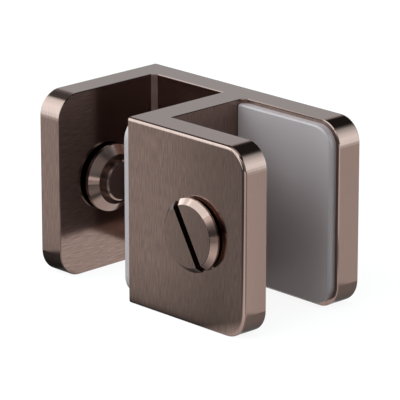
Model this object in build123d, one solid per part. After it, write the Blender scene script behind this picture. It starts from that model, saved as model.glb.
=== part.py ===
from build123d import *
import os

# A 90 degree clamp that joins two glass panels at a corner. Millimetres, +Z up, the front looks along -Y.
# It is drawn with its back left edge on the Z axis, and moved to the middle of its base at the end.

# Driving dimensions: the panels and the body
glass_thickness = 10.0    # panel that each slot holds
height = 28.0             # body, bottom to top
wall = 4.45               # every plate of the body
plate_reach = 19.15       # how far a clamping plate covers the glass, from the bottom of its slot
corner_radius = 3.7       # free corners of the plates
edge_radius = 0.52        # edges of the faces that show on the glass
edge_break = 0.12         # all the other outer edges
root_chamfer = 0.7        # corner left in a slot by the side of the cutter

# Driving dimensions: the soft pads
pad_thickness = 1.3
pad_inset = 0.65          # bare metal round a pad
rib_pad_inset = 0.33      # free end of the left pad to the front face
pad_corner_radius = 3.1
pad_chamfer = 0.22        # front edge of a pad
pad_root_gap = 0.05       # pad to the bottom of its slot

# Driving dimensions: the clamping screws
screw_reach = 9.5         # bottom of a slot to the axis of its screw
front_screw_drop = 0.25   # mid-height to the axis of the front screw
shank_diameter = 8.0
thread_clearance = 0.05   # radial, shank in its hole
hole_chamfer = 0.4
head_diameter = 10.8
head_chamfer = 0.8        # bevel from the head's face to its rim
head_edge_radius = 0.1    # where the head's face turns into its bevel
head_rim = 0.31           # straight part of the head's rim
head_back_chamfer = 0.33
head_lift = 0.3           # head to the plate, as it stands open
driver_slot_width = 1.1
driver_slot_depth = 1.5
driver_slot_angle = 30.0  # turn of the slot from upright

# Driving dimensions: the swivel feet
foot_lift = 0.62          # plate to the foot, as it stands open
foot_flange_inset = 0.3   # rim of the screw's head to the rim of the flange
foot_flange_thickness = 0.53
foot_cone_diameter = 7.6  # small end of the cone
foot_cone_height = 1.0
foot_tip_diameter = 6.2
foot_tip_height = 1.1
foot_tip_chamfer = 0.25
swivel_clearance = 0.05   # spigot and shoulder in the foot
spigot_diameter = 3.4
spigot_neck = 0.5         # from the shoulder to the snap bead
bead_height = 0.2
bead_length = 0.4
bead_chamfer = 0.15

# Places that follow from them
foot_reach = foot_lift + foot_flange_thickness + foot_cone_height + foot_tip_height
slot_width = glass_thickness + pad_thickness + foot_reach
slot_bottom = wall + slot_width + wall
body_width = slot_bottom + plate_reach
body_depth = wall + slot_width + wall
left_plate_end = wall + plate_reach
mid_height = height / 2
left_pad_length = slot_width + wall - pad_root_gap - rib_pad_inset
right_pad_length = plate_reach - pad_root_gap - pad_inset
head_radius = head_diameter / 2
head_height = head_lift + head_back_chamfer + head_rim + head_chamfer
flange_radius = head_radius - foot_flange_inset
hole_radius = shank_diameter / 2 + thread_clearance
spigot_radius = spigot_diameter / 2


def only_edges(shape, keep):
    """The edges of a shape whose middle point passes the test."""
    return [edge for edge in shape.edges() if keep(edge.center())]


def near(value, target):
    return abs(value - target) < 1e-4


def body_plan():
    """Plan of the body: the outer L, the rib and the front plate, with the two slots between them."""
    corners = [
        (0, 0),
        (body_width, 0),
        (body_width, -wall),
        (slot_bottom + root_chamfer, -wall),
        (slot_bottom, -wall - root_chamfer),
        (slot_bottom, -wall - slot_width),
        (body_width, -wall - slot_width),
        (body_width, -body_depth),
        (wall + slot_width, -body_depth),
        (wall + slot_width, -wall),
        (wall + root_chamfer, -wall),
        (wall, -wall - root_chamfer),
        (wall, -left_plate_end),
        (0, -left_plate_end),
    ]
    return make_face(Polyline(*corners, close=True))


def clamp_body():
    """One block of metal: plan extruded, free corners rounded, show edges filleted, screw holes bored."""
    body = extrude(body_plan(), height)
    free_corners = only_edges(
        body,
        lambda c: (near(c.X, body_width) or near(c.Y, -left_plate_end))
        and (near(c.Z, 0) or near(c.Z, height)),
    )
    body = fillet(free_corners, corner_radius)
    show_edges = only_edges(body, lambda c: is_show_edge(c))
    body = fillet(show_edges, edge_radius)
    slot_edges = only_edges(body, lambda c: is_slot_edge(c))
    body = chamfer(slot_edges, edge_break)
    for plane in (left_screw_plane(), front_screw_plane()):
        body -= plane * screw_hole()
    return body


def is_show_edge(c):
    """True for the edges of the three faces that show: left, back and front."""
    on_left = near(c.X, 0)
    on_back = near(c.Y, 0)
    on_front = near(c.Y, -body_depth) and c.X > wall + slot_width + edge_radius
    return on_left or on_back or on_front


def is_slot_edge(c):
    """True for the outward edges of the slots' faces, which only have a small break."""
    on_left_plate = near(c.X, wall)
    on_back_plate = near(c.Y, -wall)
    on_rib = near(c.X, wall + slot_width) or near(c.X, slot_bottom)
    on_front_plate = near(c.Y, -wall - slot_width)
    at_top_or_bottom = abs(c.Z - mid_height) > mid_height - corner_radius
    at_free_end = near(c.X, body_width) or near(c.Y, -left_plate_end) or near(c.Y, -body_depth)
    root_offset = c.X - c.Y - wall - root_chamfer
    on_root = near(root_offset, wall) or near(root_offset, slot_bottom)
    on_slot_face = on_left_plate or on_back_plate or on_rib or on_front_plate or on_root
    return on_slot_face and (at_top_or_bottom or at_free_end)


def left_screw_plane():
    """Axis of the left screw: on the left face, pointing into its slot."""
    return Plane(origin=(0, -wall - screw_reach, mid_height), x_dir=(0, -1, 0), z_dir=(1, 0, 0))


def front_screw_plane():
    """Axis of the front screw: on the front face, pointing into its slot."""
    axis_height = mid_height - front_screw_drop
    return Plane(origin=(slot_bottom + screw_reach, -body_depth, axis_height), x_dir=(1, 0, 0), z_dir=(0, 1, 0))


def turned(points):
    """A turned piece, from half its outline as pairs of radius and distance along the axis."""
    outline = Polyline(*[(radius, 0, along) for radius, along in points], close=True)
    return revolve(make_face(outline), Axis.Z)


def screw_hole():
    """The bore through a plate, with a chamfer at both mouths."""
    return turned([
        (0, 0),
        (hole_radius + hole_chamfer, 0),
        (hole_radius, hole_chamfer),
        (hole_radius, wall - hole_chamfer),
        (hole_radius + hole_chamfer, wall),
        (0, wall),
    ])


def clamp_screw():
    """Slotted screw with a bevelled head outside the plate and a snap spigot for its foot inside."""
    shoulder = wall + foot_lift - swivel_clearance
    bead_start = shoulder + spigot_neck
    bead_end = bead_start + bead_length
    bead_radius = spigot_radius + bead_height
    screw = turned([
        (0, -head_height),
        (head_radius - head_chamfer, -head_height),
        (head_radius, -head_height + head_chamfer),
        (head_radius, -head_lift - head_back_chamfer),
        (head_radius - head_back_chamfer, -head_lift),
        (shank_diameter / 2, -head_lift),
        (shank_diameter / 2, shoulder),
        (spigot_radius, shoulder),
        (spigot_radius, bead_start),
        (bead_radius, bead_start),
        (bead_radius, bead_end),
        (bead_radius - bead_chamfer, bead_end + bead_chamfer),
        (0, bead_end + bead_chamfer),
    ])
    face_edge = only_edges(screw, lambda c: near(c.Z, -head_height))
    screw = fillet(face_edge, head_edge_radius)
    slot = Box(driver_slot_width, 3 * head_radius, 2 * driver_slot_depth)
    return screw - Pos(0, 0, -head_height) * Rot(0, 0, -driver_slot_angle) * slot


def pressure_foot():
    """Flanged foot that swivels on the screw's spigot and presses the glass with its flat tip."""
    back = wall + foot_lift
    cone_start = back + foot_flange_thickness
    tip_start = cone_start + foot_cone_height
    tip_end = wall + foot_reach
    outside = turned([
        (0, back),
        (flange_radius, back),
        (flange_radius, cone_start),
        (foot_cone_diameter / 2, tip_start),
        (foot_tip_diameter / 2, tip_start),
        (foot_tip_diameter / 2, tip_end),
        (0, tip_end),
    ])
    tip_edge = only_edges(outside, lambda c: near(c.Z, tip_end))
    return chamfer(tip_edge, foot_tip_chamfer) - foot_bore()


def foot_bore():
    """The blind bore of a foot, with a groove that the snap bead turns in."""
    back = wall + foot_lift
    neck_radius = spigot_radius + swivel_clearance
    groove_radius = spigot_radius + bead_height + swivel_clearance
    groove_start = back + spigot_neck - 2 * swivel_clearance
    groove_end = back + spigot_neck + bead_length + bead_chamfer + swivel_clearance
    return turned([
        (0, back),
        (neck_radius, back),
        (neck_radius, groove_start),
        (groove_radius, groove_start),
        (groove_radius, groove_end),
        (0, groove_end),
    ])


def glass_pad(length):
    """Soft pad of a slot: its back on Z=0, its end at the slot's bottom on X=0, its free end at +X."""
    pad = Pos(length / 2, 0, pad_thickness / 2) * Box(length, height - 2 * pad_inset, pad_thickness)
    free_end = only_edges(pad, lambda c: near(c.X, length) and near(c.Z, pad_thickness / 2))
    pad = fillet(free_end, pad_corner_radius)
    front_edges = only_edges(pad, lambda c: near(c.Z, pad_thickness) and c.X > pad_chamfer)
    pad = chamfer(front_edges, pad_chamfer)
    root_edge = only_edges(pad, lambda c: near(c.X, 0) and near(c.Z, 0))
    return chamfer(root_edge, root_chamfer)


def left_pad_plane():
    """Back of the left pad: on the rib, in the left slot."""
    return Plane(
        origin=(wall + slot_width, -wall - pad_root_gap, mid_height), x_dir=(0, -1, 0), z_dir=(-1, 0, 0)
    )


def right_pad_plane():
    """Back of the right pad: on the back plate, in the right slot."""
    return Plane(
        origin=(slot_bottom + pad_root_gap, -wall, mid_height), x_dir=(1, 0, 0), z_dir=(0, -1, 0)
    )


def base_middle():
    """The middle of the base of the whole clamp, screw heads included."""
    front = max(body_depth + head_height, left_plate_end)
    return Vector((body_width - head_height) / 2, -front / 2, 0)


nodes = {
    "clamp_body": clamp_body(),
    "left_glass_pad": left_pad_plane() * glass_pad(left_pad_length),
    "right_glass_pad": right_pad_plane() * glass_pad(right_pad_length),
    "left_clamp_screw": left_screw_plane() * clamp_screw(),
    "right_clamp_screw": front_screw_plane() * clamp_screw(),
    "left_pressure_foot": left_screw_plane() * pressure_foot(),
    "right_pressure_foot": front_screw_plane() * pressure_foot(),
}

os.makedirs("parts", exist_ok=True)
for name, shape in nodes.items():
    export_step(Pos(-base_middle()) * shape, f"parts/{name}.step")
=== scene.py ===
# %% [markdown]
# # A corner clamp for two glass panels
# The clamp is one block of brushed, dark bronze metal with two slots. In each slot a slotted screw presses
# a small swivel foot on one side of a glass panel, and a grey pad takes the panel on its other side. The
# solids come from the CAD model and stay as they are, so this lesson is about finishes, light and a camera.
# Lengths are in metres, and +Z is up.

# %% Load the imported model
import math
import bpy
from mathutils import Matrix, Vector


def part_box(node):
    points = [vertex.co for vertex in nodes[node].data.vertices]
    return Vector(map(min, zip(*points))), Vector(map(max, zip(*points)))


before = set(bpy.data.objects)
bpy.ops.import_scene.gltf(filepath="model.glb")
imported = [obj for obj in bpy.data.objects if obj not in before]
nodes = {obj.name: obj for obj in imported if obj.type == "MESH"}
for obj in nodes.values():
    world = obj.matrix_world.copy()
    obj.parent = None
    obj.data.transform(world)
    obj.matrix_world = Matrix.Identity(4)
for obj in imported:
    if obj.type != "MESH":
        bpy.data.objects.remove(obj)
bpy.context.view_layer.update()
MM = 0.001
print("nodes:", sorted(nodes))

# %% [markdown]
# ## Small helpers
# Colours are picked as sRGB hex values, but a shader wants linear light, so one function turns one into the
# other. A second function adds a node, fills in its settings and links its inputs, which keeps each
# material short. A third one starts a material.


# %% Colour and node helpers
def linear(hex_colour):
    """An sRGB hex colour as the linear values that a shader socket takes."""
    channels = [int(hex_colour[i:i + 2], 16) / 255 for i in (0, 2, 4)]
    light = [c / 12.92 if c <= 0.04045 else ((c + 0.055) / 1.055) ** 2.4 for c in channels]
    return (*light, 1.0)


def add(tree, kind, settings=None, stops=(), **inputs):
    """Adds a node. An input is a value or another node's output, named by its socket: _0 is the first.
    Stops are a colour ramp's pairs of position and grey level."""
    node = tree.nodes.new(kind)
    for name, value in (settings or {}).items():
        setattr(node, name, value)
    for position, _ in stops[1:-1]:
        node.color_ramp.elements.new(position)
    for number, (position, level) in enumerate(stops):
        element = node.color_ramp.elements[number]
        element.position, element.color = position, (level, level, level, 1.0)
    for name, value in inputs.items():
        socket = node.inputs[int(name[1:]) if name[0] == "_" else name.replace("_", " ")]
        if isinstance(value, bpy.types.NodeSocket):
            tree.links.new(value, socket)
        else:
            socket.default_value = value
    return node


def new_material(name):
    """A material with a Principled shader, and the tree to add nodes to."""
    material = bpy.data.materials.new(name)
    material.use_nodes = True
    tree = material.node_tree
    return material, tree, tree.nodes["Principled BSDF"]


print("mid grey as linear light:", round(linear("808080")[0], 3))

# %% [markdown]
# ## The bronze and its brush marks
# The real body is a metal block, brushed with a fine belt and then coated dark bronze, so the grain shows
# through the coat. The belt leaves thin scratches, all in one direction. A picture of scratches would be
# one way to draw them. Here stretched noise does it, fine across the grain and long along it, because it
# has no seams and its size is stated in millimetres. Real scratches are about 0.05 mm wide, too fine to
# show, so they are drawn three times as wide. They change the colour a little, and the gloss with it.

# %% Brush marks
BRONZE = linear("8b766e")
SCRATCH_WIDTH, SCRATCH_LENGTH = 0.15 * MM, 2.2 * MM
NOISE_SPREAD = 0.14  # most of the noise lies this close to its middle, 0.5
DARK_TONE, BRIGHT_TONE = 0.80, 1.18
GLOSS_SPREAD = 0.03
DENT_DEPTH, DENT_STRENGTH = 0.003 * MM, 0.15


def brush_marks(tree, coordinates):
    """Scratches as values round 0: across the first coordinate, along the third."""
    stretched = add(tree, "ShaderNodeMapping", Vector=coordinates,
                    Scale=(1 / SCRATCH_WIDTH, 1.0, 1 / SCRATCH_LENGTH))
    noise = add(tree, "ShaderNodeTexNoise", Vector=stretched.outputs[0], Scale=1.0, Detail=3.0,
                Roughness=0.65)
    marks = add(tree, "ShaderNodeMapRange", Value=noise.outputs["Fac"], From_Min=0.5 - NOISE_SPREAD,
                From_Max=0.5 + NOISE_SPREAD, To_Min=-1.0, To_Max=1.0)
    return marks.outputs[0]


def upright_coordinates(tree, at):
    """Coordinates for upright marks on any standing face: sideways, nothing, height."""
    sideways = add(tree, "ShaderNodeMath", {"operation": "ADD"}, _0=at.outputs["X"], _1=at.outputs["Y"])
    return add(tree, "ShaderNodeCombineXYZ", X=sideways.outputs[0], Z=at.outputs["Z"]).outputs[0]


def bronze_finish(tree, shader, marks, roughness, shade=1.0):
    """Links a bronze whose colour, gloss and tiny dents follow the marks. A painted shade darkens its
    colour.
    """
    tone = add(tree, "ShaderNodeMapRange", Value=marks, From_Min=-1.0, From_Max=1.0, To_Min=DARK_TONE,
               To_Max=BRIGHT_TONE)
    tone = add(tree, "ShaderNodeMath", {"operation": "MULTIPLY"}, _0=tone.outputs[0], _1=shade)
    colour = add(tree, "ShaderNodeVectorMath", {"operation": "SCALE"}, _0=BRONZE[:3], Scale=tone.outputs[0])
    blur = add(tree, "ShaderNodeMapRange", Value=marks, From_Min=-1.0, From_Max=1.0,
               To_Min=roughness + GLOSS_SPREAD, To_Max=roughness - GLOSS_SPREAD)
    dents = add(tree, "ShaderNodeBump", Strength=DENT_STRENGTH, Distance=DENT_DEPTH, Height=marks)
    tree.links.new(colour.outputs[0], shader.inputs["Base Color"])
    tree.links.new(blur.outputs[0], shader.inputs["Roughness"])
    tree.links.new(dents.outputs[0], shader.inputs["Normal"])
    shader.inputs["Metallic"].default_value = 1.0


print("scratches per mm:", round(MM / SCRATCH_WIDTH, 1))

# %% [markdown]
# ## The body's finish, face by face
# Each kind of face was brushed in its own way. Standing faces have upright scratches, and the left plate's
# two large faces have level ones. The top and the bottom were only wiped over, so the scratches fade where
# a face looks up or down, and they are faint on the right ends too. Four materials could do that, but one
# that asks which way a face looks needs no selecting. Bare metal mirrors nearly everything at a flat angle.
# This coat mirrors less, so Specular Tint, which sets that on a metal, is about half.

# %% Brushed body
BODY_ROUGHNESS, BODY_ANISOTROPY = 0.11, 0.25
EDGE_TINT = (0.50, 0.545, 0.56, 1.0)
LEFT_PLATE, END_FACE = 5.0 * MM, 0.6 * MM  # how deep the left plate and the right ends are, along X
SIDEWAYS = 0.9  # a normal's X on a face that looks left or right
FADE_START, FADE_END = 0.05, 0.5  # a normal's Z, between which the marks fade
TOP_SHARE, END_SHARE = 0.1, 0.15  # of the marks, on the top and on the right ends
GRAIN = (0.02, 0.01, 1.0)  # a little off upright, so that level faces too have a direction across it


def brushed_body(name, plate_end, right_end):
    """Bronze with upright marks, level ones on X faces left of plate_end, and few right of right_end."""
    material, tree, shader = new_material(name)
    place = add(tree, "ShaderNodeTexCoord")
    at = add(tree, "ShaderNodeSeparateXYZ", Vector=place.outputs["Object"])
    faces = add(tree, "ShaderNodeVectorMath", {"operation": "ABSOLUTE"}, _0=place.outputs["Normal"])
    facing = add(tree, "ShaderNodeSeparateXYZ", Vector=faces.outputs[0])
    upright = brush_marks(tree, upright_coordinates(tree, at))
    lying = add(tree, "ShaderNodeCombineXYZ", X=at.outputs["Z"], Z=at.outputs["Y"])
    level = brush_marks(tree, lying.outputs[0])
    sideways = add(tree, "ShaderNodeMath", {"operation": "GREATER_THAN"}, _0=facing.outputs["X"],
                   _1=SIDEWAYS)
    on_left = add(tree, "ShaderNodeMath", {"operation": "LESS_THAN"}, _0=at.outputs["X"], _1=plate_end)
    on_plate = add(tree, "ShaderNodeMath", {"operation": "MULTIPLY"}, _0=sideways.outputs[0],
                   _1=on_left.outputs[0])
    marks = add(tree, "ShaderNodeMix", {"data_type": "FLOAT"}, Factor=on_plate.outputs[0], _2=upright,
                _3=level)
    fade = add(tree, "ShaderNodeMapRange", Value=facing.outputs["Z"], From_Min=FADE_START,
               From_Max=FADE_END, To_Min=1.0, To_Max=TOP_SHARE)
    on_right = add(tree, "ShaderNodeMath", {"operation": "GREATER_THAN"}, _0=at.outputs["X"], _1=right_end)
    end_fade = add(tree, "ShaderNodeMapRange", Value=on_right.outputs[0], To_Min=1.0, To_Max=END_SHARE)
    faded = add(tree, "ShaderNodeMath", {"operation": "MULTIPLY"}, _0=marks.outputs[0], _1=fade.outputs[0])
    faded = add(tree, "ShaderNodeMath", {"operation": "MULTIPLY"}, _0=faded.outputs[0],
                _1=end_fade.outputs[0])
    bronze_finish(tree, shader, faded.outputs[0], BODY_ROUGHNESS)
    across = add(tree, "ShaderNodeVectorMath", {"operation": "CROSS_PRODUCT"}, _0=place.outputs["Normal"],
                 _1=GRAIN)
    tree.links.new(across.outputs[0], shader.inputs["Tangent"])
    shader.inputs["Anisotropic"].default_value = BODY_ANISOTROPY
    shader.inputs["Specular Tint"].default_value = EDGE_TINT
    return material


left_plate_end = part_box("clamp_body")[0].x + LEFT_PLATE
right_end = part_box("clamp_body")[1].x - END_FACE
finishes = {"clamp_body": brushed_body("brushed_bronze_coated_metal", left_plate_end, right_end)}
print("level grain ends at x =", round(left_plate_end / MM, 1), "mm")

# %% [markdown]
# ## The turned bronze of screws and feet
# Screws and feet come from a lathe, whose tool leaves rings round the axis. They are too fine to see one by
# one, but they stretch each reflection across the rings, which gives a cone its fan of light and shade. The
# rings could be drawn as bumps, but the shader's anisotropy gives the fan without them, with the Tangent
# node telling it which way is round the axis. A screw's face is brushed upright like the body, so there the
# marks come in. Painted shade darkens its colour on the sharp edge of that face and at the bottom of the
# driver slot. A foot has no brushed face, only a coat that is slightly uneven.

# %% Turned screws and feet
TURNED_ROUGHNESS, TURNED_ANISOTROPY, QUARTER_TURN = 0.16, 0.6, 0.25
ON_FACE = 0.97  # how far along the axis a normal points on the screw's face
EDGE_TILT, EDGE_SPREAD = 0.86, 0.12  # the same on the rounded edge, between the face and the bevel
SLOT_FLOOR = 0.5 * MM  # what looks out and lies deeper than this below the face is the slot's bottom
# painted shade: how dark the face's edge and the slot's bottom are painted
PAINTED_SHADE = 0.25
COAT_PATCH, COAT_SPREAD = 0.5 * MM, 0.2


def screw_face(tree, place, axis, head_face):
    """The marks on a screw's face, and a painted shade that darkens its edge and the bottom of its slot."""
    at = add(tree, "ShaderNodeSeparateXYZ", Vector=place.outputs["Object"])
    faces = add(tree, "ShaderNodeVectorMath", {"operation": "ABSOLUTE"}, _0=place.outputs["Normal"])
    facing = add(tree, "ShaderNodeSeparateXYZ", Vector=faces.outputs[0]).outputs[axis]
    edge = add(tree, "ShaderNodeMath", {"operation": "COMPARE"}, _0=facing, _1=EDGE_TILT, _2=EDGE_SPREAD)
    level = add(tree, "ShaderNodeMath", {"operation": "GREATER_THAN"}, _0=facing, _1=ON_FACE)
    deep = add(tree, "ShaderNodeMath", {"operation": "GREATER_THAN"}, _0=at.outputs[axis],
               _1=head_face + SLOT_FLOOR)
    painted_slot_shade = add(tree, "ShaderNodeMath", {"operation": "MULTIPLY"}, _0=level.outputs[0],
                  _1=deep.outputs[0])
    # painted shade on the face's rounded edge and at the bottom of the slot
    dark = add(tree, "ShaderNodeMath", {"operation": "MAXIMUM"}, _0=edge.outputs[0], _1=painted_slot_shade.outputs[0])
    shade = add(tree, "ShaderNodeMapRange", Value=dark.outputs[0], To_Min=1.0, To_Max=PAINTED_SHADE)
    marks = brush_marks(tree, upright_coordinates(tree, at))
    marks = add(tree, "ShaderNodeMath", {"operation": "MULTIPLY"}, _0=marks, _1=level.outputs[0])
    return marks.outputs[0], shade.outputs[0]


def turned_bronze(name, axis, head_face=None):
    """Bronze turned about an axis, X or Y. A screw has its brushed face at head_face along the axis."""
    material, tree, shader = new_material(name)
    place = add(tree, "ShaderNodeTexCoord")
    if head_face is None:
        coat = add(tree, "ShaderNodeTexNoise", Vector=place.outputs["Object"], Scale=1 / COAT_PATCH,
                   Detail=2.0)
        marks = add(tree, "ShaderNodeMapRange", Value=coat.outputs["Fac"], From_Min=0.5 - COAT_SPREAD,
                    From_Max=0.5 + COAT_SPREAD, To_Min=-COAT_SPREAD, To_Max=COAT_SPREAD)
        bronze_finish(tree, shader, marks.outputs[0], TURNED_ROUGHNESS)
    else:
        marks, shade = screw_face(tree, place, axis, head_face)
        bronze_finish(tree, shader, marks, TURNED_ROUGHNESS, shade)
    rounds = add(tree, "ShaderNodeTangent", {"direction_type": "RADIAL", "axis": axis})
    tree.links.new(rounds.outputs[0], shader.inputs["Tangent"])
    shader.inputs["Anisotropic"].default_value = TURNED_ANISOTROPY
    shader.inputs["Anisotropic Rotation"].default_value = QUARTER_TURN
    return material


left_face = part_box("left_clamp_screw")[0].x
right_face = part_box("right_clamp_screw")[0].y
finishes["left_clamp_screw"] = turned_bronze("turned_bronze_left_screw", "X", left_face)
finishes["right_clamp_screw"] = turned_bronze("turned_bronze_right_screw", "Y", right_face)
finishes["left_pressure_foot"] = turned_bronze("turned_bronze_left_foot", "X")
finishes["right_pressure_foot"] = turned_bronze("turned_bronze_right_foot", "Y")
print("bronze pieces:", len(finishes))

# %% [markdown]
# ## The pads' soft grey vinyl
# The pads are cut from grey vinyl sheet, which keeps metal off the glass. Vinyl is a soft plastic with a
# satin skin and a very fine moulded grain, so its light spreads wide and its colour is never quite even.
# One flat grey would look like paint. Two noises give the sheet instead: a fine one for gloss and dents,
# and a wide one for the colour.

# %% Vinyl pads
VINYL_DARK, VINYL_PALE = linear("a29696"), linear("aa9e9e")
VINYL_GRAIN, VINYL_CLOUD = 0.18 * MM, 6.0 * MM
VINYL_GLOSSY, VINYL_DULL = 0.36, 0.48
VINYL_DENT, VINYL_DENT_STRENGTH = 0.01 * MM, 0.12
VINYL_IOR = 1.53


def vinyl_sheet(name):
    """Soft grey vinyl with a fine grain and a slightly cloudy colour."""
    material, tree, shader = new_material(name)
    place = add(tree, "ShaderNodeTexCoord").outputs["Object"]
    grain = add(tree, "ShaderNodeTexNoise", Vector=place, Scale=1 / VINYL_GRAIN, Detail=2.0).outputs["Fac"]
    cloud = add(tree, "ShaderNodeTexNoise", Vector=place, Scale=1 / VINYL_CLOUD, Detail=1.0).outputs["Fac"]
    tone = add(tree, "ShaderNodeMix", {"data_type": "RGBA"}, Factor=cloud, _6=VINYL_DARK, _7=VINYL_PALE)
    blur = add(tree, "ShaderNodeMapRange", Value=grain, To_Min=VINYL_GLOSSY, To_Max=VINYL_DULL)
    dents = add(tree, "ShaderNodeBump", Strength=VINYL_DENT_STRENGTH, Distance=VINYL_DENT, Height=grain)
    tree.links.new(tone.outputs[2], shader.inputs["Base Color"])
    tree.links.new(blur.outputs[0], shader.inputs["Roughness"])
    tree.links.new(dents.outputs[0], shader.inputs["Normal"])
    shader.inputs["IOR"].default_value = VINYL_IOR
    return material


finishes["left_glass_pad"] = finishes["right_glass_pad"] = vinyl_sheet("grey_vinyl_sheet")
for name, material in finishes.items():
    nodes[name].data.materials.clear()
    nodes[name].data.materials.append(material)
print("finished nodes:", len(finishes))

# %% [markdown]
# ## The camera
# The clamp was photographed from the right and a little above, with a long lens, so upright lines stay
# nearly upright. A camera can be placed by eye, but this one's place comes from lining up the clamp's
# straight edges with the photograph, which is closer. The lens is stated for a 36 mm sensor. The turn and
# the rise say where the camera stands as seen from the clamp, and it looks back along its own Z axis.

# %% Camera
CAMERA_PLACE = (0.31677, -0.30512, 0.15248)
SENSOR, LENS = 36.0, 285.13
TURN, RISE = math.radians(45.875), math.radians(17.529)
bpy.ops.object.select_all(action="DESELECT")
bpy.ops.object.camera_add(location=CAMERA_PLACE)
camera = bpy.context.object
camera.data.sensor_width = SENSOR
camera.data.lens = LENS
back = Vector((math.sin(TURN) * math.cos(RISE), -math.cos(TURN) * math.cos(RISE), math.sin(RISE)))
camera.rotation_euler = back.to_track_quat("Z", "Y").to_euler()
camera.data.clip_start, camera.data.clip_end = 0.01, 20.0
bpy.context.scene.camera = camera
print("camera at", [round(v, 3) for v in camera.location])

# %% [markdown]
# ## The floor
# The floor is plain and white to the camera. A curved backdrop is usual in a studio, but here one large
# plane is enough, because the world behind it is white too. Its material is built in the next three steps.

# %% Floor plane
FLOOR_SIZE = 6.0
bpy.ops.object.select_all(action="DESELECT")
bpy.ops.mesh.primitive_plane_add(size=FLOOR_SIZE, location=(0, 0, 0))
floor = bpy.context.object
floor.name = "floor"
floor_paint = bpy.data.materials.new("white_floor_paint")
floor_paint.use_nodes = True
floor.data.materials.append(floor_paint)
tree = floor_paint.node_tree
tree.nodes.clear()
place = add(tree, "ShaderNodeTexCoord").outputs["Object"]
print("floor size in m:", round(floor.dimensions.x, 1))

# %% [markdown]
# ## Cards on the floor, for the metal to mirror
# Metal looks like what it mirrors. A photographer lays white and black cards round a metal object, just
# outside the picture, and this floor does the same: only reflections see the cards. A dark card lies in
# front and white ones behind and on the right. Both change along the diagonal that runs towards the camera.
# A picture could hold the cards, but ramps and soft edges in millimetres are easy to change.

# %% Dark and white cards
TO_CAMERA = (math.sqrt(0.5), -math.sqrt(0.5), 0.0)
TO_BACK_RIGHT = (math.sqrt(0.5), math.sqrt(0.5), 0.0)
TO_RIGHT = (0.955, 0.46, 0.0)
TO_BACK = (0.0, 1.0, 0.0)
PAST_END = (0.139, 0.99, 0.0)
DARK_CARD = ((0.0, 0.86), (0.50, 0.86), (0.64, 0.74), (0.71, 0.38), (0.73, 0.42), (0.75, 0.36),
             (0.80, 0.11))
WHITE_CARD = ((0.0, 2.7), (0.16, 2.4), (0.40, 1.1), (0.72, 1.12), (0.81, 1.7), (1.0, 1.7))
FRONT_SHADE = ((0.0, 1.0), (0.55, 0.95), (0.85, 0.76), (0.93, 0.60), (1.0, 0.15))


def soft_edge(tree, place, direction, start, end):
    """Goes from 0 to 1 across the floor, from start to end, in mm along a direction."""
    along = add(tree, "ShaderNodeVectorMath", {"operation": "DOT_PRODUCT"}, _0=place, _1=direction)
    edge = add(tree, "ShaderNodeMapRange", Value=along.outputs["Value"], From_Min=start * MM,
               From_Max=end * MM)
    return edge.outputs[0]


along = soft_edge(tree, place, TO_CAMERA, -80, 60)
inward = soft_edge(tree, place, TO_BACK, -45, -11)
dark_card = add(tree, "ShaderNodeValToRGB", stops=DARK_CARD, Fac=along)
# painted shadow: the dark card gets darker close to the clamp's front
front_shade = add(tree, "ShaderNodeValToRGB", stops=FRONT_SHADE, Fac=inward)
dark_card = add(tree, "ShaderNodeVectorMath", {"operation": "MULTIPLY"}, _0=dark_card.outputs["Color"],
                _1=front_shade.outputs["Color"])
white_card = add(tree, "ShaderNodeValToRGB", stops=WHITE_CARD, Fac=along)
behind = soft_edge(tree, place, TO_BACK, -9.5, -6.5)
beside = soft_edge(tree, place, TO_RIGHT, 7, 13)
white_side = add(tree, "ShaderNodeMath", {"operation": "MAXIMUM"}, _0=behind, _1=beside)
print("stops of the cards:", len(DARK_CARD), "dark and", len(WHITE_CARD), "white")

# %% [markdown]
# ## Grey places on the floor
# The white card turns grey past the right ends of the clamp, and dark towards the camera. Far away the
# floor is bright all round, but not in front. Close to three of the clamp's lower corners a painted shadow
# makes it dim. All of that is mixed in one after the other, so each place can be changed alone.

# %% Grey places
END_GREY = (0.6, 0.6, 0.6, 1.0)
CAMERA_GREY = (0.15, 0.15, 0.15, 1.0)
OPEN_FLOOR = (2.75, 3.2, 3.35, 1.0)
OPEN_START, OPEN_END = 110 * MM, 350 * MM
# painted shadows in the floor's glow: x and y in mm, and how dark each one is
CORNERS = ((25.0, -5.0, 0.42), (25.0, 14.0, 0.42), (-22.5, -14.5, 0.10))
CORNER_RADIUS, CORNER_FADE = 5.6 * MM, 1.0 * MM


def dim_corners(tree, place, corners):
    """Brightness of the floor: each corner is a soft spot of painted shadow, given as its x and y in mm and
    its level.
    """
    level = 1.0
    for x, y, dark in corners:
        away = add(tree, "ShaderNodeVectorMath", {"operation": "DISTANCE"}, _0=place,
                   _1=(x * MM, y * MM, 0.0))
        spot = add(tree, "ShaderNodeMapRange", Value=away.outputs["Value"], From_Min=CORNER_RADIUS,
                   From_Max=CORNER_RADIUS + CORNER_FADE, To_Min=dark, To_Max=1.0)
        both = add(tree, "ShaderNodeMath", {"operation": "MULTIPLY"}, _0=spot.outputs[0], _1=level)
        level = both.outputs[0]
    return level


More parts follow.
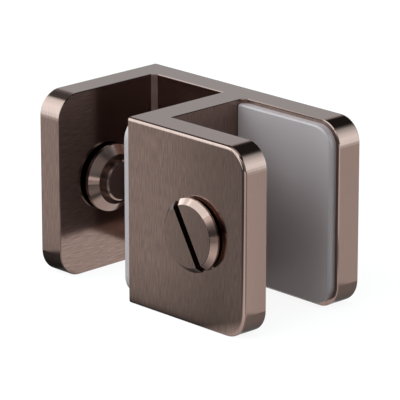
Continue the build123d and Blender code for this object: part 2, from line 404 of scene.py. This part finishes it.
past_end = soft_edge(tree, place, PAST_END, -10, -6)
outward = soft_edge(tree, place, TO_CAMERA, 25, 32)
far_right = add(tree, "ShaderNodeMath", {"operation": "MULTIPLY"}, _0=past_end, _1=outward)
far_front = soft_edge(tree, place, TO_CAMERA, 30, 78)
middle = soft_edge(tree, place, TO_BACK_RIGHT, 10, 3)
camera_side = add(tree, "ShaderNodeMath", {"operation": "MULTIPLY"}, _0=far_front, _1=middle)
white_card = add(tree, "ShaderNodeMix", {"data_type": "RGBA"}, Factor=far_right.outputs[0],
                 _6=white_card.outputs["Color"], _7=END_GREY)
white_card = add(tree, "ShaderNodeMix", {"data_type": "RGBA"}, Factor=camera_side.outputs[0],
                 _6=white_card.outputs[2], _7=CAMERA_GREY)
cards = add(tree, "ShaderNodeMix", {"data_type": "RGBA"}, Factor=white_side.outputs[0],
            _6=dark_card.outputs[0], _7=white_card.outputs[2])
away = add(tree, "ShaderNodeVectorMath", {"operation": "LENGTH"}, _0=place)
far = add(tree, "ShaderNodeMapRange", Value=away.outputs["Value"], From_Min=OPEN_START, From_Max=OPEN_END)
not_front = add(tree, "ShaderNodeMath", {"operation": "SUBTRACT"}, _0=1.0, _1=far_front)
open_side = add(tree, "ShaderNodeMath", {"operation": "MULTIPLY"}, _0=far.outputs[0],
                _1=not_front.outputs[0])
cards = add(tree, "ShaderNodeMix", {"data_type": "RGBA"}, Factor=open_side.outputs[0], _6=cards.outputs[2],
            _7=OPEN_FLOOR)
mirrored = add(tree, "ShaderNodeVectorMath", {"operation": "SCALE"}, _0=cards.outputs[2],
               Scale=dim_corners(tree, place, CORNERS))
print("dim corners on the floor:", len(CORNERS))

# %% [markdown]
# ## The floor's shader
# White paint alone would look grey, and a floor that only glows would take no shadow. So the shader mixes
# paint with a glow that only camera rays and reflections see: the camera sees plain white and a faint
# shadow, and reflections see the cards. Light that the paint bounces up onto the clamp comes from a greyer
# colour, because a white floor would fill its slots with light.

# %% Floor shader
GLOW_SHARE, MIRROR_SHARE = 0.85, 0.95
CAMERA_WHITE = (1.06, 1.06, 1.06, 1.0)
WHITE_PAINT, BOUNCED_PAINT = linear("f4f4f4"), linear("6e6e6e")
ray = add(tree, "ShaderNodeLightPath").outputs
colour = add(tree, "ShaderNodeMix", {"data_type": "RGBA"}, Factor=ray["Is Camera Ray"],
             _6=mirrored.outputs[0], _7=CAMERA_WHITE)
glow = add(tree, "ShaderNodeEmission", Color=colour.outputs[2], Strength=1.0)
bounce = add(tree, "ShaderNodeMix", {"data_type": "RGBA"}, Factor=ray["Is Diffuse Ray"], _6=WHITE_PAINT,
             _7=BOUNCED_PAINT)
paint = add(tree, "ShaderNodeBsdfDiffuse", Color=bounce.outputs[2])
seen = add(tree, "ShaderNodeMath", {"operation": "MULTIPLY"}, _0=ray["Is Camera Ray"], _1=GLOW_SHARE)
mirror = add(tree, "ShaderNodeMath", {"operation": "MAXIMUM"}, _0=ray["Is Glossy Ray"],
             _1=ray["Is Transmission Ray"])
mirror = add(tree, "ShaderNodeMath", {"operation": "MULTIPLY"}, _0=mirror.outputs[0], _1=MIRROR_SHARE)
share = add(tree, "ShaderNodeMath", {"operation": "MAXIMUM"}, _0=seen.outputs[0], _1=mirror.outputs[0])
mixed = add(tree, "ShaderNodeMixShader", Fac=share.outputs[0], _1=paint.outputs[0], _2=glow.outputs[0])
add(tree, "ShaderNodeOutputMaterial", Surface=mixed.outputs[0])
print("share of the glow:", GLOW_SHARE, "and in reflections:", MIRROR_SHARE)

# %% [markdown]
# ## The lamps
# Two large plain panels light the clamp, as soft boxes do in a studio. One stands in front and lights the
# pads over the top of the front plate, and a wide one hangs above it, where the bevel of the front screw
# mirrors it. Small lamps would be quicker to set up, but they leave hard shadows and bright dots in metal.

# %% Panels
COOL_WHITE = (0.88, 1.0, 1.04)


def panel(name, middle, facing, width, height, radiance):
    """A soft panel that emits towards a direction. Its power follows from how bright it looks."""
    bpy.ops.object.light_add(type="AREA", location=middle)
    lamp = bpy.context.object
    lamp.name = name
    lamp.rotation_euler = (-Vector(facing)).to_track_quat("Z", "Y").to_euler()
    lamp.data.shape = "RECTANGLE"
    lamp.data.size, lamp.data.size_y = width, height
    lamp.data.color = COOL_WHITE
    lamp.data.energy = radiance * math.pi * width * height


panel("panel_front", (-0.05, -0.50, 0.20), (0.1, 1.0, 0.0), width=0.36, height=0.40, radiance=2.6)
panel("panel_overhead", (-0.16, -0.45, 0.5), (0, 0, -1), width=0.72, height=0.50, radiance=3.0)

# %% [markdown]
# ## Walls of light
# The round corners and edges mirror the room round the clamp, so the room needs soft bright walls in a few
# directions and dark between them. Lamps could do that, but a lamp's hard edge shows in a mirror. Here each
# wall is a patch of the world's light. It changes by height, from 0 at the horizon to 1 straight up, and it
# fades at its sides. Its place is a compass direction in degrees, from +X towards +Y. One more wall, high
# on the camera's left, is for the bevel of the front screw.

# %% Walls
BACK_RIGHT = ((0.0, 2.7), (0.21, 2.9), (0.44, 2.2), (0.61, 1.3), (0.68, 0.15), (0.70, 0.0))
FRONT_LEFT = ((0.0, 2.7), (0.15, 3.4), (0.45, 3.5), (0.60, 2.9), (0.68, 2.2), (0.71, 0.0))
LEFT = ((0.0, 0.8), (0.20, 1.0), (0.32, 3.2), (0.52, 3.4), (0.58, 0.0))
LEFT_LOW = ((0.0, 3.8), (0.10, 3.8), (0.16, 0.0))
RIGHT = ((0.0, 0.4), (0.60, 0.4), (0.70, 0.0))
BEVEL_WALL = ((0.0, 0.0), (0.20, 0.04), (0.40, 0.36), (0.50, 1.0), (0.59, 2.1), (0.66, 2.6), (0.68, 0.0))
WALLS = ((46, 0.40, BACK_RIGHT), (216, 0.34, FRONT_LEFT), (176, 0.34, LEFT), (172, 0.24, LEFT_LOW),
         (350, 0.34, RIGHT))
BEVEL_TURN, BEVEL_HALF_WIDTH = 300, 0.30
WALL_FADE = 0.05
world = bpy.data.worlds.new("studio")
bpy.context.scene.world = world
world.use_nodes = True
tree = world.node_tree
tree.nodes.clear()
place = add(tree, "ShaderNodeTexCoord").outputs["Generated"]
at = add(tree, "ShaderNodeSeparateXYZ", Vector=place).outputs


def wall_patch(tree, place, height, turn, half_width, stops):
    """Brightness of one wall of the room: a ramp by height in one compass direction."""
    x, y = math.cos(math.radians(turn)), math.sin(math.radians(turn))
    ahead = add(tree, "ShaderNodeVectorMath", {"operation": "DOT_PRODUCT"}, _0=place, _1=(x, y, 0.0))
    aside = add(tree, "ShaderNodeVectorMath", {"operation": "DOT_PRODUCT"}, _0=place, _1=(-y, x, 0.0))
    aside = add(tree, "ShaderNodeMath", {"operation": "ABSOLUTE"}, _0=aside.outputs["Value"])
    fade = add(tree, "ShaderNodeMapRange", Value=aside.outputs[0], From_Min=half_width - WALL_FADE,
               From_Max=half_width + WALL_FADE, To_Min=1.0, To_Max=0.0)
    in_front = add(tree, "ShaderNodeMath", {"operation": "GREATER_THAN"}, _0=ahead.outputs["Value"], _1=0.0)
    mask = add(tree, "ShaderNodeMath", {"operation": "MULTIPLY"}, _0=fade.outputs[0],
               _1=in_front.outputs[0])
    light = add(tree, "ShaderNodeValToRGB", stops=stops, Fac=height)
    patch = add(tree, "ShaderNodeMath", {"operation": "MULTIPLY"}, _0=mask.outputs[0],
                _1=light.outputs["Color"])
    return patch.outputs[0]


walls = 0.0
for turn, half_width, stops in WALLS:
    patch = wall_patch(tree, place, at["Z"], turn, half_width, stops)
    walls = add(tree, "ShaderNodeMath", {"operation": "MAXIMUM"}, _0=walls, _1=patch).outputs[0]
bevel_wall = wall_patch(tree, place, at["Z"], BEVEL_TURN, BEVEL_HALF_WIDTH, BEVEL_WALL)
print("walls of light:", len(WALLS), "and one for the bevel")

# %% [markdown]
# ## The rest of the room
# Between the walls the room is a dim ring, brighter at the back left, where the tops of the plates mirror
# it. The ceiling is dark, a little paler on the left, with a light straight above. One even grey would be
# simpler, but the metal would look flat in it. The camera itself sees only white. The view transform is
# Standard, so that a colour comes out as it is written.

# %% World
COOL_WALL = (0.86, 1.0, 1.05, 1.0)
ROOM_WHITE = (0.97, 1.0, 1.02, 1.0)
WHITE = (1.0, 1.0, 1.0, 1.0)
BACK_LEFT = (-0.72, 0.69, 0.0)
DIM_RING, BRIGHT_RING = 0.12, 1.55
DARK_CEILING, PALE_CEILING, STRAIGHT_ABOVE = 0.04, 0.2, 0.9
back_left = add(tree, "ShaderNodeVectorMath", {"operation": "DOT_PRODUCT"}, _0=place, _1=BACK_LEFT)
ring = add(tree, "ShaderNodeMapRange", Value=back_left.outputs["Value"], From_Min=0.1, From_Max=0.8,
           To_Min=DIM_RING, To_Max=BRIGHT_RING)
ceiling = add(tree, "ShaderNodeMapRange", Value=at["X"], From_Min=-0.4, From_Max=-0.7, To_Min=DARK_CEILING,
              To_Max=PALE_CEILING)
level = add(tree, "ShaderNodeMapRange", Value=at["Z"], From_Min=0.40, From_Max=0.54, To_Min=ring.outputs[0],
            To_Max=ceiling.outputs[0])
overhead = add(tree, "ShaderNodeMapRange", Value=at["Z"], From_Min=0.84, From_Max=0.94, To_Min=0.0,
               To_Max=STRAIGHT_ABOVE)
level = add(tree, "ShaderNodeMath", {"operation": "ADD"}, _0=level.outputs[0], _1=overhead.outputs[0])
level = add(tree, "ShaderNodeMath", {"operation": "ADD"}, _0=level.outputs[0], _1=bevel_wall)
plain = add(tree, "ShaderNodeBackground", Color=ROOM_WHITE, Strength=level.outputs[0])
bright = add(tree, "ShaderNodeBackground", Color=COOL_WALL, Strength=walls)
soft = add(tree, "ShaderNodeAddShader", _0=plain.outputs[0], _1=bright.outputs[0])
white = add(tree, "ShaderNodeBackground", Color=WHITE, Strength=1.0)
ray = add(tree, "ShaderNodeLightPath").outputs
mixed = add(tree, "ShaderNodeMixShader", Fac=ray["Is Camera Ray"], _1=soft.outputs[0], _2=white.outputs[0])
add(tree, "ShaderNodeOutputWorld", Surface=mixed.outputs[0])
bpy.context.scene.view_settings.view_transform = "Standard"
print("nodes in the world:", len(tree.nodes))
